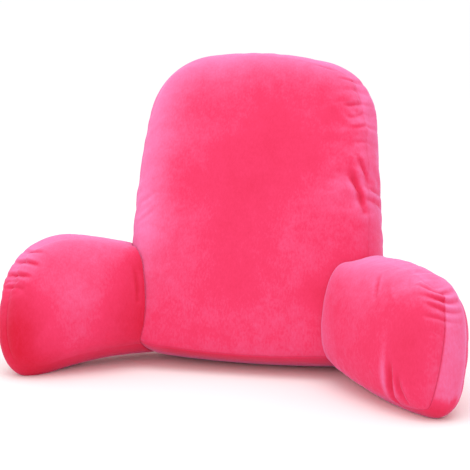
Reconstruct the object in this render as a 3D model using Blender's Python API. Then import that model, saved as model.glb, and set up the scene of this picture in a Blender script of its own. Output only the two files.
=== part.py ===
"""Backrest pillow that stands on its base: a tall stuffed back with a round top and two stuffed arms.

Each piece is a filled cushion, sewn from two panels with a boxing strip between them. A panel's outline is
a rounded quadrilateral, the strip gives the thickness at the seams, and the stuffing crowns the panels.
X runs from the arm at the left of the picture to the one at the right, Y from front to back and Z up.
Lengths are in metres.
"""
import bpy
import bmesh
import numpy as np

# Panel outlines, counter-clockwise from the lower corner at the start of the first axis. The back's first
# axis runs to the right, an arm's runs from its root in the back to its free end.
# Columns: along the first axis, up, corner radius, outward bow of the edge that follows
BACK_OUTLINE = [
    (-0.191, 0.000, 0.035, 0.004),
    (0.191, 0.000, 0.035, 0.007),
    (0.163, 0.462, 0.083, 0.010),
    (-0.182, 0.472, 0.086, 0.007),
]
ARM_LEFT_OUTLINE = [
    (-0.050, 0.030, 0.020, -0.005),
    (0.202, 0.000, 0.044, 0.008),
    (0.186, 0.216, 0.078, 0.022),
    (-0.050, 0.168, 0.020, 0.000),
]
ARM_RIGHT_OUTLINE = [
    (-0.050, 0.030, 0.020, 0.007),
    (0.252, 0.000, 0.048, 0.002),
    (0.249, 0.180, 0.064, 0.026),
    (-0.050, 0.150, 0.020, 0.000),
]
OUTLINE_SOFTNESS = 0.014
OUTLINE_POINTS = 360

# Thickness at the seams, at the bottom and at the top of each piece, and how much thicker an arm's outer
# side makes it at its root
BACK_THICKNESS = (0.126, 0.080)
ARM_THICKNESS = (0.050, 0.046)
ARM_ROOT_EXTRA = 0.045

# How far the stuffing pushes out the face in front, the face behind and the strip
BACK_CROWN = (0.025, 0.030, 0.008)
ARM_CROWN = (0.048, 0.035, 0.010)

# How full the crown is: its rise at the seams and its flatness in the middle
CROWN_RISE = 0.6
CROWN_FLATNESS = 2.4

# Main folds pressed into the faces in front, each a straight trough with soft ends
# Columns: start along, start up, end along, end up, half width, depth
BACK_FOLDS = [
    (0.150, 0.300, 0.180, 0.225, 0.013, 0.006),
    (0.128, 0.396, 0.170, 0.384, 0.012, 0.003),
    (-0.185, 0.205, -0.160, 0.225, 0.012, 0.003),
]
ARM_LEFT_FOLDS = [
    (0.000, 0.150, -0.004, 0.050, 0.013, 0.006),
    (0.150, 0.192, 0.182, 0.160, 0.012, 0.003),
]
ARM_RIGHT_FOLDS = [
    (0.178, 0.056, 0.162, 0.008, 0.013, 0.005),
    (0.202, 0.052, 0.206, 0.012, 0.012, 0.004),
    (0.150, 0.170, 0.220, 0.158, 0.012, 0.003),
]

# How the pieces stand: the back leans to the rear, the arms point forwards and tip outwards
BACK_LEAN = np.radians(18.5)
ARM_LEFT_SPLAY = np.radians(31.5)
ARM_RIGHT_SPLAY = np.radians(44.5)
ARM_LEFT_TIP = np.radians(18.0)
ARM_RIGHT_TIP = np.radians(12.0)
BACK_ROOT = (0.0, 0.0)
ARM_LEFT_ROOT = (-0.183, -0.040)
ARM_RIGHT_ROOT = (0.158, -0.035)

# The lowest points press on the surface: they reach SINK below it, the sides near it sag, and it cuts
# them flat
SINK = 0.004
SAG = 0.003
SAG_HEIGHT = 0.040

# Shift that puts the middle of the whole pillow over the origin
CENTRE_SHIFT = (0.006, 0.014)

# Space between an arm's root and the back it is sewn to
ROOT_GAP = 0.0006

# Cells of each cushion: along, up, and across the strip
BACK_CELLS = (26, 34, 6)
ARM_CELLS = (22, 20, 6)

VELVET_PINK = (0.95, 0.075, 0.175, 1.0)
VELVET_ROUGHNESS = 0.85
SMOOTH_ANGLE = np.radians(50.0)


def rounded_corner(corner, before, after, radius, steps=24):
    """Curve that takes the place of one corner of an outline."""
    way_in = (corner - before) / np.linalg.norm(corner - before)
    way_out = (after - corner) / np.linalg.norm(after - corner)
    turn = np.arccos(np.clip(way_in @ way_out, -1.0, 1.0))
    reach = radius * np.tan(turn / 2)
    handle = 4 / 3 * np.tan(turn / 4) / np.tan(turn / 2)
    start = corner - reach * way_in
    end = corner + reach * way_out
    first = start + handle * (corner - start)
    second = end + handle * (corner - end)
    t = np.linspace(0.0, 1.0, steps + 1)[:, None]
    return (1 - t) ** 3 * start + 3 * (1 - t) ** 2 * t * first + 3 * (1 - t) * t ** 2 * second + t ** 3 * end


def panel_outline(table, edge_steps=40):
    """Evenly spaced points round a panel, softened like cloth, and the indices of its four corners."""
    corners = np.array([row[:2] for row in table])
    curves = [rounded_corner(corners[k], corners[k - 1], corners[(k + 1) % 4], table[k][2]) for k in range(4)]
    points = []
    corner_indices = []
    for k, curve in enumerate(curves):
        corner_indices.append(len(points) + len(curve) // 2)
        points.extend(curve)
        start, end = curve[-1], curves[(k + 1) % 4][0]
        along = end - start
        outward = np.array([along[1], -along[0]]) / np.linalg.norm(along)
        for t in np.linspace(0.0, 1.0, edge_steps + 1)[1:-1]:
            points.append(start + along * t + outward * table[k][3] * 4 * t * (1 - t))
    points = np.array(points + points[:1])
    travelled = np.concatenate([[0.0], np.cumsum(np.linalg.norm(np.diff(points, axis=0), axis=1))])
    step = travelled[-1] / OUTLINE_POINTS
    places = np.arange(OUTLINE_POINTS) * step
    even = np.stack([np.interp(places, travelled, points[:, axis]) for axis in range(2)], axis=1)
    corner_indices = [int(round(travelled[index] / step)) % OUTLINE_POINTS for index in corner_indices]
    reach = int(3 * OUTLINE_SOFTNESS / step)
    offsets = np.arange(-reach, reach + 1)
    weights = np.exp(-0.5 * (offsets * step / OUTLINE_SOFTNESS) ** 2)
    soft = sum(weight * np.roll(even, -offset, axis=0) for weight, offset in zip(weights, offsets))
    return soft / weights.sum(), corner_indices


def outline_side(outline, first, last, cells):
    """Points at even distances along one side of an outline."""
    if last <= first:
        last += len(outline)
    points = outline[np.arange(first, last + 1) % len(outline)]
    travelled = np.concatenate([[0.0], np.cumsum(np.linalg.norm(np.diff(points, axis=0), axis=1))])
    places = np.linspace(0.0, travelled[-1], cells + 1)
    return np.stack([np.interp(places, travelled, points[:, axis]) for axis in range(2)], axis=1)


def panel_grid(table, cells_along, cells_up):
    """Grid of points that fills a panel's outline, blended from its four sides."""
    outline, (low_start, low_end, high_end, high_start) = panel_outline(table)
    low = outline_side(outline, low_start, low_end, cells_along)
    end = outline_side(outline, low_end, high_end, cells_up)
    high = outline_side(outline, high_end, high_start, cells_along)[::-1]
    start = outline_side(outline, high_start, low_start, cells_up)[::-1]
    i = np.linspace(0.0, 1.0, cells_along + 1)[:, None, None]
    j = np.linspace(0.0, 1.0, cells_up + 1)[None, :, None]
    across = (1 - j) * low[:, None] + j * high[:, None] + (1 - i) * start[None] + i * end[None]
    corners = (1 - i) * (1 - j) * low[0] + i * (1 - j) * low[-1] + (1 - i) * j * high[0] + i * j * high[-1]
    return across - corners


def crown_height(cells_along, cells_up):
    """Rise of the stuffed panel over its seams, from 0 at its rim to 1 in the middle."""
    i = 1 - np.abs(np.linspace(-1.0, 1.0, cells_along + 1)) ** CROWN_FLATNESS
    j = 1 - np.abs(np.linspace(-1.0, 1.0, cells_up + 1)) ** CROWN_FLATNESS
    return (i[:, None] * j[None, :]) ** CROWN_RISE


def rim_cells(cells_along, cells_up):
    """Grid indices round the rim of a panel, counter-clockwise."""
    low = [(i, 0) for i in range(cells_along)]
    end = [(cells_along, j) for j in range(cells_up)]
    high = [(i, cells_up) for i in range(cells_along, 0, -1)]
    start = [(0, j) for j in range(cells_up, 0, -1)]
    return low + end + high + start


def fold_depth(grid, folds):
    """How deep the folds press into each point of a face."""
    depth = np.zeros(grid.shape[:2])
    for start_along, start_up, end_along, end_up, half_width, deepest in folds:
        start = np.array([start_along, start_up])
        course = np.array([end_along, end_up]) - start
        share = np.clip((grid - start) @ course / (course @ course), 0.0, 1.0)
        aside = np.linalg.norm(grid - start - share[..., None] * course, axis=-1)
        depth += deepest * np.exp(-(aside / half_width) ** 2)
    return depth


def cushion_shape(table, cells, thickness, crown, folds, start_extra=0.0):
    """Points and faces of one cushion: first axis, up, and depth, which is negative in front."""
    cells_along, cells_up, cells_across = cells
    crown_front, crown_rear, strip_bulge = crown
    grid = panel_grid(table, cells_along, cells_up)
    height = crown_height(cells_along, cells_up)
    low, high = grid[..., 1].min(), grid[..., 1].max()
    start, end = grid[..., 0].min(), grid[..., 0].max()

    def seam_depths(place):
        half = 0.5 * np.interp(place[..., 1], (low, high), thickness)
        return -half, half + start_extra * (end - place[..., 0]) / (end - start)

    front_seam, rear_seam = seam_depths(grid)
    front = np.dstack([grid, front_seam - (crown_front - fold_depth(grid, folds)) * height])
    rear = np.dstack([grid, rear_seam + crown_rear * height])
    points = [front.reshape(-1, 3), rear.reshape(-1, 3)]
    front_index = np.arange(height.size).reshape(height.shape)
    rear_index = front_index + height.size
    faces = []
    for i in range(cells_along):
        for j in range(cells_up):
            faces.append([front_index[k] for k in ((i, j), (i + 1, j), (i + 1, j + 1), (i, j + 1))])
            faces.append([rear_index[k] for k in ((i, j), (i, j + 1), (i + 1, j + 1), (i + 1, j))])

    rim = rim_cells(cells_along, cells_up)
    seam = np.array([grid[k] for k in rim])
    tangent = np.roll(seam, -1, axis=0) - np.roll(seam, 1, axis=0)
    outward = np.stack([tangent[:, 1], -tangent[:, 0]], axis=1)
    outward /= np.linalg.norm(outward, axis=1, keepdims=True)
    front_seam, rear_seam = seam_depths(seam)
    rows = [[front_index[k] for k in rim]]
    for row in range(1, cells_across):
        share = row / cells_across
        bulged = seam + outward * strip_bulge * 4 * share * (1 - share)
        first = sum(map(len, points))
        rows.append(list(range(first, first + len(rim))))
        points.append(np.column_stack([bulged, front_seam + share * (rear_seam - front_seam)]))
    rows.append([rear_index[k] for k in rim])
    for near, far in zip(rows, rows[1:]):
        for k in range(len(rim)):
            after = (k + 1) % len(rim)
            faces.append([near[k], far[k], far[after], near[after]])
    return np.vstack(points), faces


def stand_on_surface(points):
    """Lower a piece until it presses on the surface, and let its lowest part sag."""
    points = points.copy()
    points[:, 2] -= points[:, 2].min() + SINK
    near_surface = np.clip(1 - points[:, 2] / SAG_HEIGHT, 0.0, 1.0)
    points[:, 2] -= SAG * near_surface ** 2
    return points + np.array([*CENTRE_SHIFT, 0.0])


def place_back(local):
    """Lean the back to the rear about its root."""
    along = np.array([1.0, 0.0, 0.0])
    up = np.array([0.0, np.sin(BACK_LEAN), np.cos(BACK_LEAN)])
    depth = np.array([0.0, np.cos(BACK_LEAN), -np.sin(BACK_LEAN)])
    placed = local @ np.array([along, up, depth])
    return stand_on_surface(placed + np.array([*BACK_ROOT, 0.0]))


def place_arm(local, side, splay, tip, root):
    """Point an arm forwards and outwards from its root; side is -1 at the left and 1 at the right."""
    along = np.array([side * np.cos(splay), -np.sin(splay), 0.0])
    inward = np.array([-side * np.sin(splay), -np.cos(splay), 0.0])
    vertical = np.array([0.0, 0.0, 1.0])
    up = vertical * np.cos(tip) - inward * np.sin(tip)
    face = inward * np.cos(tip) + vertical * np.sin(tip)
    placed = local @ np.array([along, up, -face])
    return stand_on_surface(placed + np.array([*root, 0.0]))


def mesh_object(name, points, faces, root):
    """Mesh object with its faces outwards and its origin on the surface, under its root."""
    origin = np.array([root[0] + CENTRE_SHIFT[0], root[1] + CENTRE_SHIFT[1], 0.0])
    mesh = bpy.data.meshes.new(name)
    mesh.from_pydata((points - origin).tolist(), [], [[int(index) for index in face] for face in faces])
    thing = bpy.data.objects.new(name, mesh)
    thing.location = origin
    bpy.context.collection.objects.link(thing)
    work = bmesh.new()
    work.from_mesh(mesh)
    bmesh.ops.recalc_face_normals(work, faces=work.faces)
    work.to_mesh(mesh)
    work.free()
    return thing


def flatten_base(thing):
    """Cut a piece off at the surface and close it with one flat face."""
    work = bmesh.new()
    work.from_mesh(thing.data)
    everything = work.verts[:] + work.edges[:] + work.faces[:]
    bmesh.ops.bisect_plane(work, geom=everything, plane_co=(0, 0, 0), plane_no=(0, 0, 1), clear_inner=True)
    rim = [edge for edge in work.edges if edge.is_boundary]
    bmesh.ops.contextual_create(work, geom=rim)
    bmesh.ops.recalc_face_normals(work, faces=work.faces)
    work.to_mesh(thing.data)
    work.free()


def grown_copy(thing, distance):
    """Copy of a piece with its surface moved outwards, for cutting room for it."""
    grown = thing.copy()
    grown.data = thing.data.copy()
    grown.name = thing.name + "_room"
    bpy.context.collection.objects.link(grown)
    normals = [vertex.normal.copy() for vertex in grown.data.vertices]
    for vertex, normal in zip(grown.data.vertices, normals):
        vertex.co += normal * distance
    grown.hide_render = True
    grown.display_type = 'WIRE'
    return grown


def cut_away(thing, cutter):
    """Take the cutter's shape off a piece."""
    cut = thing.modifiers.new("root", 'BOOLEAN')
    cut.operation = 'DIFFERENCE'
    cut.solver = 'EXACT'
    cut.object = cutter


def velvet(name):
    """Short-pile velvet in one colour."""
    material = bpy.data.materials.new(name)
    material.use_nodes = True
    shader = material.node_tree.nodes["Principled BSDF"]
    shader.inputs["Base Color"].default_value = VELVET_PINK
    shader.inputs["Roughness"].default_value = VELVET_ROUGHNESS
    shader.inputs["Metallic"].default_value = 0.0
    return material


def finish(thing):
    """Smooth shading that keeps the seams crisp, and the piece's own material."""
    thing.data.materials.append(velvet(thing.name + "_velvet"))
    thing.data.shade_smooth()
    thing.data.set_sharp_from_angle(angle=SMOOTH_ANGLE)


def make_back():
    local, faces = cushion_shape(BACK_OUTLINE, BACK_CELLS, BACK_THICKNESS, BACK_CROWN, BACK_FOLDS)
    back = mesh_object("back_cushion", place_back(local), faces, BACK_ROOT)
    flatten_base(back)
    finish(back)
    return back


def make_arm(name, table, folds, placing, room):
    local, faces = cushion_shape(table, ARM_CELLS, ARM_THICKNESS, ARM_CROWN, folds, ARM_ROOT_EXTRA)
    arm = mesh_object(name, place_arm(local, *placing), faces, placing[-1])
    flatten_base(arm)
    cut_away(arm, room)
    finish(arm)
    return arm


def main():
    for thing in list(bpy.data.objects):
        bpy.data.objects.remove(thing, do_unlink=True)
    room = grown_copy(make_back(), ROOT_GAP)
    left = (-1, ARM_LEFT_SPLAY, ARM_LEFT_TIP, ARM_LEFT_ROOT)
    right = (1, ARM_RIGHT_SPLAY, ARM_RIGHT_TIP, ARM_RIGHT_ROOT)
    make_arm("arm_left", ARM_LEFT_OUTLINE, ARM_LEFT_FOLDS, left, room)
    make_arm("arm_right", ARM_RIGHT_OUTLINE, ARM_RIGHT_FOLDS, right, room)


main()
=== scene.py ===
import math
import bpy
import bmesh
import numpy as np
from mathutils import Matrix, Vector
from mathutils.bvhtree import BVHTree
from mathutils.kdtree import KDTree


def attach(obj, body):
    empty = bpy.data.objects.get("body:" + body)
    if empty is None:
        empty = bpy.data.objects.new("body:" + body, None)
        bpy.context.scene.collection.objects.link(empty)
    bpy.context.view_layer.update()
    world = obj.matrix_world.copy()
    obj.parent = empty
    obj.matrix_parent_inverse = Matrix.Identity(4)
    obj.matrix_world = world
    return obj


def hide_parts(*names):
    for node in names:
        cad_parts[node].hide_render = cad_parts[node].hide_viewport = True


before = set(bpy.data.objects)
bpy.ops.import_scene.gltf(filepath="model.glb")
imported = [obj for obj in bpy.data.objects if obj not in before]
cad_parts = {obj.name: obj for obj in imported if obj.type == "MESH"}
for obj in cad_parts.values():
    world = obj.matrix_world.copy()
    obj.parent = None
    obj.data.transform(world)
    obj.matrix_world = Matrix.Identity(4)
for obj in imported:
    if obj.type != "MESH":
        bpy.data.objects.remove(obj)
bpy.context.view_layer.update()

# Panels: how widely an outline is softened and its number of points, then how steeply the stuffing rises from
# the seams and how flat the middle is
OUTLINE_SOFTNESS = 0.014
OUTLINE_POINTS = 720
CROWN_RISE = 0.6
CROWN_FLATNESS = 2.4

# Lengths are in metres. Every cushion is described on its own panel: along it, up it, and depth behind it.
# cells: of the grid along a panel, up it and across the strip
# front, rear: panel outlines, counter-clockwise from the lower corner at the start
#     columns: along, up, corner radius, outward bow of the edge that follows
# thickness: between the seams, low and high; root_extra: more of it at an arm's root
# crown: bulge of the front, the rear and the strip
# root_fall: share of an arm over which its front bulge rises, and how much of it there is at the root
# lift: how far the top of an arm is drawn up the back's side, where that begins, and its reach
# A place round the rim goes from 0 to 4: lower edge, end edge, upper edge, start edge
# seams: place round the rim, how sharp the seam's edge is, how deep its groove is drawn and how dark the
# painted shade along it is there
# rim light and nap: place round the rim, painted light of the strip, painted light of the panel beside it
# (above 0 painted sheen, below 0 painted shade), reach of that
# nap: spots of lighter and darker pile in front, partly the pile's own lie and partly painted highlight and
# painted shade; columns: along, up, reach along, reach up, amount
# slack: spots where the cloth is wrinkled; columns: along, up, reach, strength
# folds: troughs between two soft ridges, from nothing at their start
#     columns: start along, start up, end along, end up, bend to the side, half width, depth
BACK = {
    "cells": (72, 92, 20),
    "front": [
        (-0.190, 0.001, 0.035, 0.008),
        (0.197, 0.000, 0.035, 0.007),
        (0.168, 0.464, 0.095, 0.008),
        (-0.191, 0.486, 0.109, 0.010),
    ],
    "rear": [
        (-0.191, 0.000, 0.035, 0.004),
        (0.210, 0.000, 0.035, 0.002),
        (0.156, 0.463, 0.087, 0.008),
        (-0.189, 0.481, 0.097, 0.009),
    ],
    "thickness": (0.126, 0.080),
    "root_extra": 0.0,
    "crown": (0.025, 0.030, 0.008),
    "root_fall": (1.0, 1.0),
    "lift": (0.0, 0.0, 1.0),
    "seams": [
        (0.0, 0.7, 0.1), (0.15, 0.7, 0.4), (1.0, 0.7, 0.4), (1.2, 0.35, 0.2), (1.7, 0.3, 0.15),
        (1.85, 0.15, 0.0), (2.2, 0.0, 0.0), (3.0, 0.0, 0.0), (3.9, 0.2, 0.0),
    ],
    "rim_painted_light": [
        (0.0, -0.2, 0.1, 0.030), (0.1, -0.3, 0.1, 0.030), (0.2, -0.7, 0.1, 0.030), (0.5, -0.7, 0.1, 0.030),
        (1.0, -0.2, 0.0, 0.030), (1.3, 0.15, 0.1, 0.025), (1.6, 0.25, 0.2, 0.025), (1.8, 0.5, 0.3, 0.030),
        (2.1, 0.5, 0.2, 0.035), (2.8, 0.5, 0.4, 0.045), (3.1, 0.6, 0.8, 0.050), (3.6, 0.6, 0.8, 0.055),
    ],
    "nap": [
        (0.030, 0.335, 0.090, 0.100, -0.24),
        (-0.030, 0.200, 0.050, 0.080, -0.14),
        (-0.155, 0.185, 0.040, 0.060, 0.15),
        (0.103, 0.142, 0.030, 0.030, 0.15),
        (0.140, 0.250, 0.020, 0.050, 0.12),
        (0.000, 0.050, 0.090, 0.025, 0.14),
        (0.116, 0.100, 0.025, 0.030, -0.22),
    ],
    "slack": [(0.150, 0.400, 0.045, 0.9), (0.165, 0.270, 0.040, 0.7), (-0.180, 0.220, 0.030, 0.5)],
    "folds": [
        (0.146, 0.304, 0.184, 0.226, 0.003, 0.0055, 0.0072),
        (0.155, 0.324, 0.186, 0.272, 0.003, 0.0036, 0.0040),
        (0.116, 0.440, 0.160, 0.436, 0.002, 0.0032, 0.0022),
        (0.124, 0.418, 0.166, 0.420, 0.003, 0.0045, 0.0014),
        (0.130, 0.391, 0.172, 0.400, 0.002, 0.0032, 0.0026),
        (0.138, 0.377, 0.174, 0.385, -0.003, 0.0032, 0.0015),
        (0.138, 0.359, 0.182, 0.364, -0.002, 0.0045, 0.0025),
        (0.148, 0.333, 0.184, 0.336, 0.002, 0.0036, 0.0016),
        (0.176, 0.270, 0.204, 0.252, 0.002, 0.0040, 0.0028),
        (0.178, 0.252, 0.204, 0.236, 0.002, 0.0040, 0.0032),
        (0.073, 0.470, 0.113, 0.458, 0.002, 0.0036, 0.0022),
        (-0.150, 0.230, -0.192, 0.196, 0.003, 0.0045, 0.0018),
        (-0.155, 0.254, -0.192, 0.228, 0.003, 0.0040, 0.0014),
    ],
}
ARM_LEFT = {
    "cells": (72, 64, 20),
    "front": [
        (-0.062, 0.037, 0.010, -0.010),
        (0.204, 0.009, 0.031, 0.005),
        (0.187, 0.243, 0.102, 0.001),
        (-0.062, 0.187, 0.020, 0.000),
    ],
    "rear": [
        (-0.062, 0.037, 0.010, -0.009),
        (0.203, 0.009, 0.037, 0.007),
        (0.186, 0.238, 0.100, 0.001),
        (-0.062, 0.185, 0.020, 0.000),
    ],
    "thickness": (0.050, 0.046),
    "root_extra": 0.045,
    "crown": (0.048, 0.035, 0.010),
    "root_fall": (0.5, 0.70),
    "lift": (-0.003, 0.000, 0.020),
    "seams": [
        (0.0, 0.6, 0.3), (0.35, 0.0, 0.0), (1.0, 0.0, 0.0), (1.15, 0.3, 0.3), (1.4, 0.4, 0.4), (1.7, 0.0, 0.0),
        (2.9, 0.0, 0.0), (3.05, 0.8, 0.8), (3.5, 0.8, 0.7), (3.8, 0.8, 0.0), (3.95, 0.8, 0.0),
    ],
    "rim_painted_light": [
        (0.0, -0.5, -0.3, 0.030), (0.6, -0.5, -0.2, 0.025), (0.9, -0.8, -0.8, 0.050),
        (1.3, -0.8, -0.8, 0.050), (1.6, -0.2, -0.2, 0.035), (1.9, 0.5, 0.4, 0.025),
        (2.9, 0.5, 0.3, 0.025), (3.2, -0.7, -0.6, 0.035), (3.8, -0.7, -0.6, 0.040),
    ],
    "nap": [
        (0.085, 0.105, 0.045, 0.065, 0.20),
        (0.025, 0.075, 0.040, 0.060, -0.32),
        (0.175, 0.070, 0.030, 0.045, -0.30),
        (0.180, 0.115, 0.022, 0.030, -0.22),
    ],
    "slack": [(0.165, 0.160, 0.035, 0.9)],
    "folds": [
        (-0.002, 0.165, -0.004, 0.105, -0.002, 0.0040, 0.0028),
        (0.132, 0.190, 0.164, 0.202, 0.002, 0.0038, 0.0034),
        (0.142, 0.168, 0.180, 0.186, 0.003, 0.0038, 0.0046),
        (0.155, 0.152, 0.194, 0.166, 0.002, 0.0038, 0.0046),
        (0.168, 0.136, 0.202, 0.146, 0.002, 0.0038, 0.0030),
    ],
    "side": -1, "splay": math.radians(31.5), "tip": math.radians(18.0), "root": (-0.183, -0.040),
}
ARM_RIGHT = {
    "cells": (72, 64, 20),
    "front": [
        (-0.050, 0.024, 0.012, 0.016),
        (0.250, -0.002, 0.010, 0.005),
        (0.251, 0.184, 0.060, 0.012),
        (-0.050, 0.164, 0.020, 0.000),
    ],
    "rear": [
        (-0.050, 0.024, 0.012, 0.010),
        (0.256, 0.000, 0.016, 0.002),
        (0.234, 0.178, 0.085, 0.016),
        (-0.050, 0.145, 0.020, 0.000),
    ],
    "thickness": (0.050, 0.046),
    "root_extra": 0.045,
    "crown": (0.048, 0.029, 0.010),
    "root_fall": (0.4, 0.9),
    "lift": (0.009, 0.014, 0.012),
    "seams": [
        (0.0, 0.7, 0.3), (0.3, 0.1, 0.1), (0.8, 0.1, 0.1), (1.0, 0.6, 0.6), (1.7, 0.6, 0.6), (1.95, 0.2, 0.2),
        (2.1, 0.05, 0.05), (2.9, 0.05, 0.05), (3.05, 0.8, 0.5), (3.5, 0.8, 0.4), (3.8, 0.8, 0.0),
        (3.95, 0.8, 0.0),
    ],
    "rim_painted_light": [
        (0.0, -0.1, 0.1, 0.020), (0.7, -0.1, -0.1, 0.020), (1.02, -0.5, 0.0, 0.020),
        (1.15, 0.4, 0.1, 0.015), (1.9, 0.5, 0.1, 0.020), (2.2, 0.5, 0.3, 0.030),
        (2.9, 0.6, 0.5, 0.040), (3.2, 0.3, 0.3, 0.040), (3.8, 0.3, 0.3, 0.040),
    ],
    "nap": [
        (0.215, 0.090, 0.030, 0.065, -0.25),
        (0.176, 0.036, 0.005, 0.036, 0.40),
        (0.110, 0.110, 0.030, 0.050, 0.08),
    ],
    "slack": [(0.190, 0.160, 0.050, 0.9), (0.185, 0.030, 0.040, 0.8)],
    "folds": [
        (0.188, 0.070, 0.185, 0.000, 0.003, 0.0056, 0.0062),
        (0.204, 0.052, 0.211, 0.006, -0.003, 0.0050, 0.0042),
        (0.110, 0.172, 0.134, 0.138, 0.002, 0.0034, 0.0030),
        (0.162, 0.185, 0.208, 0.180, 0.001, 0.0022, 0.0028),
        (0.176, 0.180, 0.224, 0.174, 0.001, 0.0022, 0.0026),
        (0.172, 0.170, 0.242, 0.166, 0.002, 0.0030, 0.0040),
        (0.200, 0.156, 0.264, 0.146, 0.006, 0.0030, 0.0048),
        (0.214, 0.149, 0.256, 0.139, 0.002, 0.0030, 0.0034),
        (0.222, 0.131, 0.254, 0.129, 0.002, 0.0030, 0.0020),
    ],
    "side": 1, "splay": math.radians(44.5), "tip": math.radians(12.0), "root": (0.158, -0.035),
}

# How the pieces stand: lean of the back, how much is pressed flat, how much more sags and below which height,
# and the shift that brings them to the middle
BACK_LEAN = math.radians(18.5)
SINK = 0.004
SAG = 0.003
SAG_HEIGHT = 0.040
CENTRE_SHIFT = (0.006, 0.014)

# An arm's root: gap to the back, how far away the back is looked for, and where and how the top is drawn up
ROOT_GAP = 0.0003
ROOT_PROBE = 0.08
ROOT_NEAR = 0.020
LIFT_FRONT = 0.015
LIFT_SPREAD = 0.050
LIFT_STEEPNESS = 4

# Seams: how deep they are drawn in, how strong those behind are, and how far and how much a hidden one is
# rounded off; then the depth over which the front fades into the strip
SEAM_DEPTH = 0.0018
REAR_SEAMS = 0.15
ROUNDING_REACH = 0.022
ROUNDING_ROUNDS = 60
ON_SEAM = 0.99
FRONT_FADE = 0.020

# Folds: share of the length over which they rise, where they fade, over which share and by how much; then how
# high their ridges are beside the trough, and how wide
FOLD_RISE = 0.55
FOLD_FADE_START = 0.7
FOLD_FADE_REACH = 0.3
FOLD_FADE = 0.5
RIDGE_HEIGHT = 0.5
RIDGE_WIDTH = 2.0

# Cloth: how much the panels are cut larger and the seams tighter, its physics, and how much of it is kept
PANEL_GROWTH = -0.020
SEAM_SHRINK = 0.05
PIN_HEIGHT = 0.004
CLOTH_STEPS = 16
CLOTH_QUALITY = 5
CLOTH_MASS = 0.25
CLOTH_STRETCH_STIFFNESS = 12.0
CLOTH_SHEAR_STIFFNESS = 4.0
CLOTH_BENDING_STIFFNESS = 0.35
CLOTH_PRESSURE = 4.0
WRINKLE_SMOOTHING = 40
WRINKLE_CAP = 0.006
SLACK_FRONT = 0.16
SLACK_BEHIND = 0.25
SLACK_HEIGHT = 0.040

# Camera of the photograph, as fitted to the object's outline and seams
CAMERA_AZIMUTH = math.radians(16.25)
CAMERA_ELEVATION = math.radians(11.0)
CAMERA_ROLL = math.radians(-1.03)
CAMERA_DISTANCE = 2.224
CAMERA_TARGET = Vector((-0.0033, -0.036, 0.222))
CAMERA_LENS = 110.7
SENSOR_WIDTH = 36.0

# Velvet colours: darker pile with painted shade, its own pink, and lighter pile with painted sheen
VELVET_DARK_PILE_AND_SHADE = (0.62, 0.010, 0.038, 1.0)
VELVET_PINK = (0.79, 0.041, 0.126, 1.0)
VELVET_PALE_PILE_AND_SHEEN = (0.83, 0.215, 0.460, 1.0)
VELVET_ROUGHNESS = 0.9
VELVET_SPECULAR = 0.15
SHEEN_TINT = (0.80, 0.55, 1.00, 1.0)
SHEEN_WEIGHT = 0.5
SHEEN_ROUGHNESS = 0.30

# Painted shade along a seam's groove: its colour, how strong that is, and how near the seam it begins
SEAM_GROOVE_PAINTED_SHADE = (0.42, 0.006, 0.026, 1.0)
SEAM_LINE = 0.7
SEAM_LINE_EDGE = 0.30

# Painted highlight where the cloth faces up, from this much of the way; painted shade in a fold's trough and
# painted highlight on its ridges, for each metre of the fold's relief
UPWARD_HIGHLIGHT_START = 0.25
UPWARD_PAINTED_HIGHLIGHT = 0.40
TROUGH_PAINTED_SHADE = 70.0
RIDGE_PAINTED_HIGHLIGHT = 190.0

# Noise of the nap, its mottling, its grain and its pile; columns: scale, detail, roughness
NAP_NOISE = (9.0, 3.0, 0.55)
MOTTLE_NOISE = (60.0, 4.0, 0.65)
GRAIN_NOISE = (380.0, 3.0, 0.65)
PILE_NOISE = (1400.0, 2.0, 0.7)
NOISE_RANGE = (0.30, 0.70)

# How much each noise lightens and darkens the nap, and the relief of the grain and the pile
NAP_SWING = 0.11
MOTTLE_SWING = 0.065
GRAIN_SWING = 0.085
GRAIN_STRETCH = (1.0, 1.0, 0.40)
GRAIN_RELIEF = 0.7
PILE_RELIEF = 0.3
PILE_HEIGHT = 0.0012
PILE_STRENGTH = 0.35

FLOOR_SIZE = 120.0
FLOOR_COLOUR = (0.97, 0.97, 0.97, 1.0)
FLOOR_ROUGHNESS = 0.9
WORLD_COLOUR = (1.0, 1.0, 1.0, 1.0)
WORLD_STRENGTH = 1.04
# Columns: name, place, aimed at, side, power
SOFT_BOXES = [
    ("top_box", (0.1, -0.3, 2.2), (0.0, 0.0, 0.2), 1.6, 12.0),
    ("front_box", (-1.4, -2.2, 1.6), (0.0, 0.0, 0.2), 1.4, 6.0),
]


def rounded_corner(corner, before, after, radius, steps=32):
    """Curve that takes the place of one corner of an outline."""
    way_in = (corner - before) / np.linalg.norm(corner - before)
    way_out = (after - corner) / np.linalg.norm(after - corner)
    turn = np.arccos(np.clip(way_in @ way_out, -1.0, 1.0))
    reach = radius * np.tan(turn / 2)
    handle = 4 / 3 * np.tan(turn / 4) / np.tan(turn / 2)
    start = corner - reach * way_in
    end = corner + reach * way_out
    first = start + handle * (corner - start)
    second = end + handle * (corner - end)
    t = np.linspace(0.0, 1.0, steps + 1)[:, None]
    return (1 - t) ** 3 * start + 3 * (1 - t) ** 2 * t * first + 3 * (1 - t) * t ** 2 * second + t ** 3 * end


def along_path(points, places):
    """Points at given distances along a path."""
    steps = np.linalg.norm(np.diff(points, axis=0), axis=1)
    travelled = np.concatenate([[0.0], np.cumsum(steps)])
    return np.stack([np.interp(places * travelled[-1], travelled, axis) for axis in points.T], axis=1)


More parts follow.
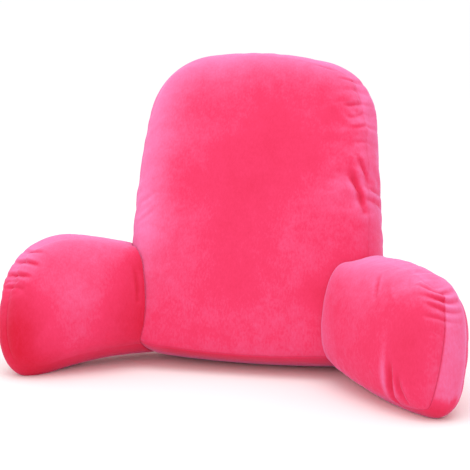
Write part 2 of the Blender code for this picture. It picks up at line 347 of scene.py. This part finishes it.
def panel_outline(table, edge_steps=40):
    """Evenly spaced points round a panel, softened like cloth, and the indices of its four corners."""
    corners = np.array([row[:2] for row in table])
    curves = [rounded_corner(corners[k], corners[k - 1], corners[(k + 1) % 4], table[k][2]) for k in range(4)]
    points = []
    corner_indices = []
    for k, curve in enumerate(curves):
        corner_indices.append(len(points) + len(curve) // 2)
        points.extend(curve)
        start, end = curve[-1], curves[(k + 1) % 4][0]
        along = end - start
        outward = np.array([along[1], -along[0]]) / np.linalg.norm(along)
        for t in np.linspace(0.0, 1.0, edge_steps + 1)[1:-1]:
            points.append(start + along * t + outward * table[k][3] * 4 * t * (1 - t))
    points = np.array(points + points[:1])
    travelled = np.concatenate([[0.0], np.cumsum(np.linalg.norm(np.diff(points, axis=0), axis=1))])
    step = travelled[-1] / OUTLINE_POINTS
    even = along_path(points, np.arange(OUTLINE_POINTS) / OUTLINE_POINTS)
    corner_indices = [int(round(travelled[index] / step)) % OUTLINE_POINTS for index in corner_indices]
    reach = int(3 * OUTLINE_SOFTNESS / step)
    offsets = np.arange(-reach, reach + 1)
    weights = np.exp(-0.5 * (offsets * step / OUTLINE_SOFTNESS) ** 2)
    soft = sum(weight * np.roll(even, -offset, axis=0) for weight, offset in zip(weights, offsets))
    return soft / weights.sum(), corner_indices


def outline_side(outline, first, last, cells):
    """Points at even distances along one side of an outline."""
    if last <= first:
        last += len(outline)
    return along_path(outline[np.arange(first, last + 1) % len(outline)], np.linspace(0.0, 1.0, cells + 1))


def panel_grid(table, cells_along, cells_up):
    """Grid of points that fills a panel's outline, blended from its four sides."""
    outline, (low_start, low_end, high_end, high_start) = panel_outline(table)
    low = outline_side(outline, low_start, low_end, cells_along)
    end = outline_side(outline, low_end, high_end, cells_up)
    high = outline_side(outline, high_end, high_start, cells_along)[::-1]
    start = outline_side(outline, high_start, low_start, cells_up)[::-1]
    i = np.linspace(0.0, 1.0, cells_along + 1)[:, None, None]
    j = np.linspace(0.0, 1.0, cells_up + 1)[None, :, None]
    across = (1 - j) * low[:, None] + j * high[:, None] + (1 - i) * start[None] + i * end[None]
    corners = (1 - i) * (1 - j) * low[0] + i * (1 - j) * low[-1] + (1 - i) * j * high[0] + i * j * high[-1]
    return across - corners


def smooth_step(values):
    values = np.clip(values, 0.0, 1.0)
    return values * values * (3 - 2 * values)


def crown_height(cells_along, cells_up, root_fall):
    """Rise of the stuffed panel over its seams, from 0 at its rim to 1 in the middle."""
    places = np.linspace(0.0, 1.0, cells_along + 1)
    i = 1 - np.abs(2 * places - 1) ** CROWN_FLATNESS
    j = 1 - np.abs(np.linspace(-1.0, 1.0, cells_up + 1)) ** CROWN_FLATNESS
    height = (i[:, None] * j[None, :]) ** CROWN_RISE
    reach, floor = root_fall
    return height * (floor + (1 - floor) * smooth_step(places / reach))[:, None]


class Cushion:
    """Grid mesh of one cushion: a front panel, a rear panel and a strip between them."""

    def __init__(self, spec):
        self.spec = spec
        cells_along, cells_up, _ = spec["cells"]
        crown_front, crown_rear, _ = spec["crown"]
        front = panel_grid(spec["front"], cells_along, cells_up)
        rear = panel_grid(spec["rear"], cells_along, cells_up)
        self.low, self.high = front[..., 1].min(), front[..., 1].max()
        self.start, self.end = front[..., 0].min(), front[..., 0].max()
        front_height = crown_height(cells_along, cells_up, spec["root_fall"])
        rear_height = crown_height(cells_along, cells_up, (1.0, 1.0))
        self.front = np.dstack([front, -self.half_thickness(front) - crown_front * front_height])
        self.rear = np.dstack([rear, self.rear_depth(rear) + crown_rear * rear_height])
        self.rim, self.rim_places = self.rim_cells()
        self.strip = self.strip_rows(front, rear)
        self.draw_up_root()

    def half_thickness(self, place):
        return 0.5 * np.interp(place[..., 1], (self.low, self.high), self.spec["thickness"])

    def rear_depth(self, place):
        extra = self.spec["root_extra"] * (self.end - place[..., 0]) / (self.end - self.start)
        return self.half_thickness(place) + extra

    def strip_rows(self, front, rear):
        """Rows of the strip from the front panel's rim to the rear panel's, bulging between them."""
        cells_across = self.spec["cells"][2]
        bulge = self.spec["crown"][2]
        near = np.array([front[k] for k in self.rim])
        far = np.array([rear[k] for k in self.rim])
        tangent = np.roll(near, -1, axis=0) - np.roll(near, 1, axis=0)
        outward = np.stack([tangent[:, 1], -tangent[:, 0]], axis=1)
        outward /= np.linalg.norm(outward, axis=1, keepdims=True)
        strip = []
        for row in range(1, cells_across):
            share = row / cells_across
            bulged = near * (1 - share) + far * share + outward * bulge * 4 * share * (1 - share)
            depth = -self.half_thickness(near) * (1 - share) + self.rear_depth(far) * share
            strip.append(np.column_stack([bulged, depth]))
        return np.array(strip)

    def draw_up_root(self):
        """Draw the top of an arm up the back's side."""
        lift, lift_start, lift_reach = self.spec["lift"]
        for shape in self.shapes():
            near_root = np.exp(-np.maximum(shape[..., 0] - lift_start, 0.0) / lift_reach)
            upward = np.clip((shape[..., 1] - self.low) / (self.high - self.low), 0.0, 1.0)
            behind = smooth_step((shape[..., 2] + LIFT_FRONT) / LIFT_SPREAD)
            shape[..., 1] += lift * near_root * upward ** LIFT_STEEPNESS * behind

    def rim_cells(self):
        """Grid indices round the rim of a panel, counter-clockwise, and their places from 0 to 4."""
        cells_along, cells_up, _ = self.spec["cells"]
        rim = []
        places = []
        for i in range(cells_along):
            rim.append((i, 0))
            places.append(i / cells_along)
        for j in range(cells_up):
            rim.append((cells_along, j))
            places.append(1 + j / cells_up)
        for i in range(cells_along):
            rim.append((cells_along - i, cells_up))
            places.append(2 + i / cells_along)
        for j in range(cells_up):
            rim.append((0, cells_up - j))
            places.append(3 + j / cells_up)
        return rim, np.array(places)

    def place(self, axes, root):
        """Turn from the piece's own axes to the frame's, onto the surface."""
        self.axes = np.array(axes)
        lowest = min((shape @ self.axes)[..., 2].min() for shape in self.shapes())
        self.origin = np.array([root[0] + CENTRE_SHIFT[0], root[1] + CENTRE_SHIFT[1], -lowest - SINK])
        for shape in self.shapes():
            shape[:] = shape @ self.axes + self.origin
            near_surface = np.clip(1 - shape[..., 2] / SAG_HEIGHT, 0.0, 1.0)
            shape[..., 2] -= SAG * near_surface ** 2

    def shapes(self):
        return self.front, self.rear, self.strip

    def points(self):
        return np.vstack([shape.reshape(-1, 3) for shape in self.shapes()])

    def plan(self):
        """Where each point is in the cushion's own axes: along its panel, up it, and depth behind it."""
        return (self.points() - self.origin) @ self.axes.T

    def rows(self):
        """Point indices of the seam in front, each row of the strip, and the seam behind."""
        cells_along, cells_up, cells_across = self.spec["cells"]
        front_index = np.arange((cells_along + 1) * (cells_up + 1)).reshape(cells_along + 1, cells_up + 1)
        rear_index = front_index + front_index.size
        rows = [[int(front_index[k]) for k in self.rim]]
        first = 2 * front_index.size
        for row in range(cells_across - 1):
            rows.append(list(range(first + row * len(self.rim), first + (row + 1) * len(self.rim))))
        rows.append([int(rear_index[k]) for k in self.rim])
        return front_index, rear_index, rows

    def faces(self):
        cells_along, cells_up, _ = self.spec["cells"]
        front_index, rear_index, rows = self.rows()
        faces = []
        for i in range(cells_along):
            for j in range(cells_up):
                faces.append([int(front_index[k]) for k in ((i, j), (i + 1, j), (i + 1, j + 1), (i, j + 1))])
                faces.append([int(rear_index[k]) for k in ((i, j), (i, j + 1), (i + 1, j + 1), (i + 1, j))])
        for near, far in zip(rows, rows[1:]):
            for k in range(len(near)):
                after = (k + 1) % len(near)
                faces.append([near[k], far[k], far[after], near[after]])
        return faces


def back_axes():
    along = (1.0, 0.0, 0.0)
    up = (0.0, math.sin(BACK_LEAN), math.cos(BACK_LEAN))
    depth = (0.0, math.cos(BACK_LEAN), -math.sin(BACK_LEAN))
    return along, up, depth


def arm_axes(spec):
    side, splay, tip = spec["side"], spec["splay"], spec["tip"]
    along = np.array([side * math.cos(splay), -math.sin(splay), 0.0])
    inward = np.array([-side * math.sin(splay), -math.cos(splay), 0.0])
    vertical = np.array([0.0, 0.0, 1.0])
    up = vertical * math.cos(tip) - inward * math.sin(tip)
    face = inward * math.cos(tip) + vertical * math.sin(tip)
    return along, up, -face


def meet_back(cushion, tree, along):
    """Let an arm start where it meets the back, and shape its root to the back's side."""
    cells_along, cells_up, cells_across = cushion.spec["cells"]
    outward = Vector(along)

    def outside(line):
        """The part of a line, root first, that is outside the back, with as many points."""
        for k in range(len(line) - 1, 0, -1):
            step = Vector(line[k - 1]) - Vector(line[k])
            hit = tree.ray_cast(Vector(line[k]), step, step.length)[0]
            if hit is not None:
                kept = np.vstack([np.array(hit + outward * ROOT_GAP), line[k:]])
                return along_path(kept, np.linspace(0.0, 1.0, len(line)))
        return line

    for panel in (cushion.front, cushion.rear):
        for j in range(cells_up + 1):
            panel[:, j] = outside(panel[:, j])
    low = slice(0, cells_along + 1)
    high = slice(cells_along + cells_up, 2 * cells_along + cells_up + 1)
    for row, strip in enumerate(cushion.strip):
        strip[low] = outside(strip[low])
        strip[high] = outside(strip[high][::-1])[::-1]
        share = (row + 1) / cells_across
        for k in range(high.stop, len(cushion.rim)):
            j = cushion.rim[k][1]
            between = cushion.front[0, j] * (1 - share) + cushion.rear[0, j] * share
            hit = tree.ray_cast(Vector(between) + outward * ROOT_PROBE, -outward, 2 * ROOT_PROBE)[0]
            if hit is not None:
                strip[k] = np.array(hit + outward * ROOT_GAP)


def smooth_points(values, edges, rounds):
    """Average each point with its neighbours, again and again."""
    count = len(values)
    first, second = edges[:, 0], edges[:, 1]
    neighbours = np.bincount(first, minlength=count) + np.bincount(second, minlength=count)
    for _ in range(rounds):
        total = np.stack([np.bincount(first, values[second, axis], count)
                          + np.bincount(second, values[first, axis], count) for axis in range(3)], axis=1)
        values = 0.5 * values + 0.5 * total / neighbours[:, None]
    return values


def mesh_points(mesh):
    points = np.empty(len(mesh.vertices) * 3)
    mesh.vertices.foreach_get("co", points)
    return points.reshape(-1, 3)


def mesh_normals(mesh):
    normals = np.empty(len(mesh.vertices) * 3)
    mesh.vertices.foreach_get("normal", normals)
    return normals.reshape(-1, 3)


def mesh_edges(mesh):
    edges = np.empty(len(mesh.edges) * 2, dtype=np.int32)
    mesh.edges.foreach_get("vertices", edges)
    return edges.reshape(-1, 2)


def move_to(mesh, points):
    mesh.vertices.foreach_set("co", points.ravel())
    mesh.update()


def cloth_wrinkles(thing, seam_points):
    """Inflate a copy of a cushion as cloth whose seams are tighter than its panels; return what that moves.

    Only the fine part of the movement is kept, because the cushion already has its stuffed shape.
    """
    copy = thing.copy()
    copy.data = thing.data.copy()
    bpy.context.collection.objects.link(copy)
    seams = copy.vertex_groups.new(name="seams")
    seams.add([int(index) for index in seam_points], 1.0, 'REPLACE')
    base = [k for k, point in enumerate(mesh_points(copy.data)) if point[2] < PIN_HEIGHT]
    pins = copy.vertex_groups.new(name="pins")
    pins.add(base, 1.0, 'REPLACE')
    cloth = copy.modifiers.new("cloth", 'CLOTH')
    settings = cloth.settings
    settings.quality = CLOTH_QUALITY
    settings.mass = CLOTH_MASS
    settings.tension_stiffness = CLOTH_STRETCH_STIFFNESS
    settings.compression_stiffness = CLOTH_STRETCH_STIFFNESS
    settings.shear_stiffness = CLOTH_SHEAR_STIFFNESS
    settings.bending_stiffness = CLOTH_BENDING_STIFFNESS
    settings.use_pressure = True
    settings.uniform_pressure_force = CLOTH_PRESSURE
    settings.shrink_min = PANEL_GROWTH
    settings.shrink_max = SEAM_SHRINK
    settings.vertex_group_shrink = seams.name
    settings.vertex_group_mass = pins.name
    settings.effector_weights.gravity = 0.0
    cloth.collision_settings.use_collision = False
    scene = bpy.context.scene
    for step in range(1, CLOTH_STEPS + 1):
        scene.frame_set(step)
    result = copy.evaluated_get(bpy.context.evaluated_depsgraph_get()).to_mesh()
    moved = mesh_points(result) - mesh_points(thing.data)
    bpy.data.objects.remove(copy, do_unlink=True)
    scene.frame_set(1)
    fine = moved - smooth_points(moved, mesh_edges(thing.data), WRINKLE_SMOOTHING)
    length = np.linalg.norm(fine, axis=1, keepdims=True)
    return fine * np.minimum(1.0, WRINKLE_CAP / np.maximum(length, 1e-9))


def spots(plan, table):
    """Sum of soft round spots at each point of a cushion's panel."""
    total = np.zeros(len(plan))
    for along, up, reach_along, reach_up, amount in table:
        distance = np.hypot((plan[:, 0] - along) / reach_along, (plan[:, 1] - up) / reach_up)
        total += amount * np.exp(-distance ** 2)
    return total


def fold_relief(plan, folds):
    """Depth of the folds at each point: a trough with a low ridge on each side."""
    relief = np.zeros(len(plan))
    for start_along, start_up, end_along, end_up, bend, half_width, depth in folds:
        start = np.array([start_along, start_up])
        course = np.array([end_along, end_up]) - start
        length = np.linalg.norm(course)
        across = np.array([-course[1], course[0]]) / length
        share = (plan[:, :2] - start) @ course / length ** 2
        inside = np.clip(share, 0.0, 1.0)
        past_end = (share - inside) * length
        aside = (plan[:, :2] - start) @ across - bend * 4 * inside * (1 - inside)
        distance = np.hypot(aside, past_end) / half_width
        fading = smooth_step((inside - FOLD_FADE_START) / FOLD_FADE_REACH)
        taper = smooth_step(inside / FOLD_RISE) * (1 - FOLD_FADE * fading)
        trough = (1 + RIDGE_HEIGHT) * np.exp(-distance ** 2)
        ridges = RIDGE_HEIGHT * np.exp(-(distance / RIDGE_WIDTH) ** 2)
        relief += depth * taper * (trough - ridges)
    return relief


def nearest_seam(points, seams):
    """For each point, which seam point is nearest, and how far it is."""
    tree = KDTree(len(seams))
    for k, index in enumerate(seams):
        tree.insert(points[index], k)
    tree.balance()
    found = [tree.find(point) for point in points]
    return np.array([hit[1] for hit in found]), np.array([hit[2] for hit in found])


def stay_outside(points, tree):
    """Keep an arm clear of the back."""
    for k, point in enumerate(points):
        place, normal, _, _ = tree.find_nearest(Vector(point), ROOT_NEAR)
        if place is not None:
            height = (Vector(point) - place).dot(normal)
            if height < ROOT_GAP:
                points[k] = np.array(Vector(point) + normal * (ROOT_GAP - height))


def in_front(plan):
    """1 on the front panel, falling to 0 across the strip."""
    return 1 - smooth_step((plan[:, 2] + FRONT_FADE) / (2 * FRONT_FADE))


def store(mesh, title, values):
    kind, field = ('FLOAT_VECTOR', "vector") if values.ndim > 1 else ('FLOAT', "value")
    if title not in mesh.attributes:
        mesh.attributes.new(title, kind, 'POINT')
    mesh.attributes[title].data.foreach_set(field, values.ravel())


def stored(mesh, title, width=1):
    values = np.empty(len(mesh.vertices) * width)
    mesh.attributes[title].data.foreach_get("vector" if width > 1 else "value", values)
    return values.reshape(-1, width) if width > 1 else values


def stuffed_mesh(thing, cushion):
    """Round off a cushion's hidden seams, wrinkle its slack cloth, and store its nap with its painted sheen
    and shade, and its seams.
    """
    spec = cushion.spec
    front_index, _, rows = cushion.rows()
    mesh = thing.data
    plan = cushion.plan()
    seams = np.array(rows[0] + rows[-1])
    points = mesh_points(mesh)
    nearest, distance = nearest_seam(points, seams)
    place = np.concatenate([cushion.rim_places, cushion.rim_places])[nearest]
    knots, sharpness, lines = zip(*spec["seams"])
    front_or_rear = np.where(nearest < len(rows[0]), 1.0, REAR_SEAMS)
    sharp = front_or_rear * np.interp(place, knots, sharpness, period=4.0)
    sewn = front_or_rear * np.interp(place, knots, lines, period=4.0)
    rounding = ((1 - sharp) * np.exp(-(distance / ROUNDING_REACH) ** 2))[:, None]
    move_to(mesh, points + rounding * (smooth_points(points, mesh_edges(mesh), ROUNDING_ROUNDS) - points))

    front = in_front(plan)
    slack = spots(plan, [(along, up, reach, reach, amount) for along, up, reach, amount in spec["slack"]])
    kept = np.clip(SLACK_FRONT + slack, 0.0, 1.0) * front + SLACK_BEHIND * (1 - front)
    kept *= smooth_step(mesh_points(mesh)[:, 2] / SLACK_HEIGHT)
    move_to(mesh, mesh_points(mesh) + kept[:, None] * cloth_wrinkles(thing, seams))

    # Painted light along the rims: lighter is painted sheen, darker is painted shade, mostly on the lower
    # edges and the strip under them
    rim_places, *columns = (np.array(column) for column in zip(*spec["rim_painted_light"]))
    strip_painted_light, beside, reach = (np.interp(place, rim_places, column, period=4.0) for column in columns)
    # Nap spots in front: partly the pile's own lie, partly painted highlight and painted shade
    nap = beside * np.exp(-(distance / reach) ** 2) + spots(plan, spec["nap"]) * front
    strip_points = slice(2 * front_index.size, None)
    nap[strip_points] = strip_painted_light[strip_points]
    on_seam = np.zeros(len(plan))
    on_seam[seams] = 1.0
    for title, values in (("plan", plan), ("seam", on_seam), ("sewn", sewn), ("nap", nap)):
        store(mesh, title, values)


def subdivide(thing):
    """Give an object the subdivided form of its mesh."""
    thing.modifiers.new("subdivide", 'SUBSURF').levels = 1
    mesh = bpy.data.meshes.new_from_object(thing.evaluated_get(bpy.context.evaluated_depsgraph_get()))
    thing.modifiers.clear()
    thing.data = mesh
    return mesh


def cushion_object(name, cushion, tree=None):
    """Mesh object of a cushion, with its folds, its sewn seams and a flat base."""
    mesh = bpy.data.meshes.new(name)
    mesh.from_pydata(cushion.points().tolist(), [], cushion.faces())
    thing = bpy.data.objects.new(name, mesh)
    bpy.context.collection.objects.link(thing)
    work = bmesh.new()
    work.from_mesh(mesh)
    bmesh.ops.recalc_face_normals(work, faces=work.faces)
    work.to_mesh(mesh)
    work.free()
    stuffed_mesh(thing, cushion)

    mesh = subdivide(thing)
    plan = stored(mesh, "plan", 3)
    seam = (stored(mesh, "seam") > ON_SEAM).astype(float)
    folded = fold_relief(plan, cushion.spec["folds"]) * in_front(plan)
    depth = folded + SEAM_DEPTH * seam * stored(mesh, "sewn")
    points = mesh_points(mesh) - mesh_normals(mesh) * depth[:, None]
    if tree is not None:
        stay_outside(points, tree)
    points[:, 2] = np.maximum(points[:, 2], 0.0)
    move_to(mesh, points)
    store(mesh, "seam", seam)
    # Painted shade in the folds' troughs and painted highlight on their ridges
    fold_painted_light = -np.where(folded > 0.0, TROUGH_PAINTED_SHADE, RIDGE_PAINTED_HIGHLIGHT) * folded
    store(mesh, "nap", stored(mesh, "nap") + fold_painted_light)
    mesh.attributes.remove(mesh.attributes["plan"])
    mesh.shade_smooth()
    return thing


def velvet(name):
    """Short-pile velvet: mottled nap, fine grain, a sheen at its edges, and painted highlight, sheen and shade
    in its colour.
    """
    material = bpy.data.materials.new(name)
    material.use_nodes = True
    nodes = material.node_tree.nodes
    links = material.node_tree.links
    shader = nodes["Principled BSDF"]
    coordinates = nodes.new("ShaderNodeTexCoord")

    def noise(kind, stretch=(1.0, 1.0, 1.0)):
        scale, detail, roughness = kind
        mapping = nodes.new("ShaderNodeMapping")
        mapping.inputs["Scale"].default_value = stretch
        texture = nodes.new("ShaderNodeTexNoise")
        texture.inputs["Scale"].default_value = scale
        texture.inputs["Detail"].default_value = detail
        texture.inputs["Roughness"].default_value = roughness
        links.new(coordinates.outputs["Object"], mapping.inputs["Vector"])
        links.new(mapping.outputs["Vector"], texture.inputs["Vector"])
        return texture.outputs["Fac"]

    def attribute(title):
        node = nodes.new("ShaderNodeAttribute")
        node.attribute_name = title
        return node.outputs["Fac"]

    def remap(value, low, high, to_low, to_high):
        node = nodes.new("ShaderNodeMapRange")
        for socket, number in zip(("From Min", "From Max", "To Min", "To Max"), (low, high, to_low, to_high)):
            node.inputs[socket].default_value = number
        links.new(value, node.inputs["Value"])
        return node.outputs["Result"]

    def swing(value, amount):
        return remap(value, *NOISE_RANGE, -amount, amount)

    def mix(share, first, second):
        node = nodes.new("ShaderNodeMix")
        node.data_type = 'RGBA'
        links.new(share, node.inputs["Factor"])
        for socket, value in (("A", first), ("B", second)):
            target = next(s for s in node.inputs if s.name == socket and s.type == 'RGBA')
            if isinstance(value, tuple):
                target.default_value = value
            else:
                links.new(value, target)
        return next(s for s in node.outputs if s.type == 'RGBA')

    def calculate(operation, first, second):
        node = nodes.new("ShaderNodeMath")
        node.operation = operation
        for socket, value in zip(node.inputs, (first, second)):
            if isinstance(value, float):
                socket.default_value = value
            else:
                links.new(value, socket)
        return node.outputs["Value"]

    brushed = swing(noise(NAP_NOISE), NAP_SWING)
    mottled = swing(noise(MOTTLE_NOISE), MOTTLE_SWING)
    grain = noise(GRAIN_NOISE, GRAIN_STRETCH)
    grained = swing(grain, GRAIN_SWING)
    # Painted highlight on cloth that faces up
    geometry = nodes.new("ShaderNodeNewGeometry")
    split = nodes.new("ShaderNodeSeparateXYZ")
    links.new(geometry.outputs["Normal"], split.inputs["Vector"])
    upward = remap(split.outputs["Z"], UPWARD_HIGHLIGHT_START, 1.0, 0.0, UPWARD_PAINTED_HIGHLIGHT)
    nap = attribute("nap")
    for part in (brushed, mottled, grained, upward):
        nap = calculate('ADD', nap, part)
    # Below 0 the colour darkens towards darker pile and painted shade; above 0 it lightens towards lighter
    # pile and painted sheen
    darker_pile_and_shade = remap(calculate('MULTIPLY', nap, -1.0), 0.0, 1.0, 0.0, 1.0)
    lighter_pile_and_sheen = remap(nap, 0.0, 1.0, 0.0, 1.0)
    colour = mix(lighter_pile_and_sheen, mix(darker_pile_and_shade, VELVET_PINK, VELVET_DARK_PILE_AND_SHADE), VELVET_PALE_PILE_AND_SHEEN)
    # Painted shade along the seam's groove and in the crease at an arm's root
    seam_shade_share = remap(attribute("seam"), SEAM_LINE_EDGE, 1.0, 0.0, SEAM_LINE)
    line = calculate('MULTIPLY', seam_shade_share, attribute("sewn"))
    links.new(mix(line, colour, SEAM_GROOVE_PAINTED_SHADE), shader.inputs["Base Color"])
    shader.inputs["Roughness"].default_value = VELVET_ROUGHNESS
    shader.inputs["Specular IOR Level"].default_value = VELVET_SPECULAR
    shader.inputs["Sheen Weight"].default_value = SHEEN_WEIGHT
    shader.inputs["Sheen Roughness"].default_value = SHEEN_ROUGHNESS
    shader.inputs["Sheen Tint"].default_value = SHEEN_TINT

    grain_relief = calculate('MULTIPLY', grain, GRAIN_RELIEF)
    pile_relief = calculate('MULTIPLY', noise(PILE_NOISE), PILE_RELIEF)
    relief = calculate('ADD', grain_relief, pile_relief)
    bump = nodes.new("ShaderNodeBump")
    bump.inputs["Strength"].default_value = PILE_STRENGTH
    bump.inputs["Distance"].default_value = PILE_HEIGHT
    links.new(relief, bump.inputs["Height"])
    links.new(bump.outputs["Normal"], shader.inputs["Normal"])
    return material


def dress(thing, node, slot):
    """Give a cushion its velvet and the place of its CAD node."""
    thing.data.materials.append(velvet(slot))
    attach(thing, "root")
    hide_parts(node)


def make_back():
    cushion = Cushion(BACK)
    cushion.place(back_axes(), (0.0, 0.0))
    thing = cushion_object("back_velvet_cushion", cushion)
    dress(thing, "back_cushion", "back_velvet")
    return thing


def make_arm(node, spec, tree):
    cushion = Cushion(spec)
    axes = arm_axes(spec)
    cushion.place(axes, spec["root"])
    meet_back(cushion, tree, axes[0])
    dress(cushion_object(node + "_velvet_cushion", cushion, tree), node, node + "_velvet")


def surface_tree(thing):
    """The final surface of a piece, for others to meet."""
    faces = [tuple(face.vertices) for face in thing.data.polygons]
    return BVHTree.FromPolygons(mesh_points(thing.data).tolist(), faces)


def make_floor():
    """Plain pale floor that runs to the horizon."""
    bpy.ops.mesh.primitive_plane_add(size=FLOOR_SIZE, location=(0.0, 0.0, 0.0))
    floor = bpy.context.object
    floor.name = "floor"
    material = bpy.data.materials.new("pale_floor")
    material.use_nodes = True
    shader = material.node_tree.nodes["Principled BSDF"]
    shader.inputs["Base Color"].default_value = FLOOR_COLOUR
    shader.inputs["Roughness"].default_value = FLOOR_ROUGHNESS
    shader.inputs["Specular IOR Level"].default_value = 0.0
    floor.data.materials.append(material)


def add_light(name, place, target, size, power):
    light = bpy.data.lights.new(name, 'AREA')
    light.shape = 'SQUARE'
    light.size = size
    light.energy = power
    thing = bpy.data.objects.new(name, light)
    thing.location = place
    thing.rotation_euler = (Vector(target) - Vector(place)).to_track_quat('-Z', 'Y').to_euler()
    bpy.context.collection.objects.link(thing)


def light_studio():
    """Soft light from all round, with two soft boxes above."""
    scene = bpy.context.scene
    scene.world = bpy.data.worlds.new("studio")
    scene.world.use_nodes = True
    background = scene.world.node_tree.nodes["Background"]
    background.inputs["Color"].default_value = WORLD_COLOUR
    background.inputs["Strength"].default_value = WORLD_STRENGTH
    for name, place, target, size, power in SOFT_BOXES:
        add_light(name, place, target, size, power)
    scene.view_settings.view_transform = "Standard"


def add_camera():
    """Camera at the photograph's viewing angle."""
    level = math.cos(CAMERA_ELEVATION)
    toward = Vector((math.sin(CAMERA_AZIMUTH) * level, -math.cos(CAMERA_AZIMUTH) * level,
                     math.sin(CAMERA_ELEVATION)))
    data = bpy.data.cameras.new("camera")
    data.sensor_width = SENSOR_WIDTH
    data.lens = CAMERA_LENS
    camera = bpy.data.objects.new("camera", data)
    turn = (-toward).to_track_quat('-Z', 'Y').to_matrix().to_4x4() @ Matrix.Rotation(CAMERA_ROLL, 4, 'Z')
    camera.matrix_world = Matrix.Translation(CAMERA_TARGET + toward * CAMERA_DISTANCE) @ turn
    bpy.context.collection.objects.link(camera)
    bpy.context.scene.camera = camera


add_camera()
make_floor()
light_studio()
back_surface = surface_tree(make_back())
make_arm("arm_left", ARM_LEFT, back_surface)
make_arm("arm_right", ARM_RIGHT, back_surface)
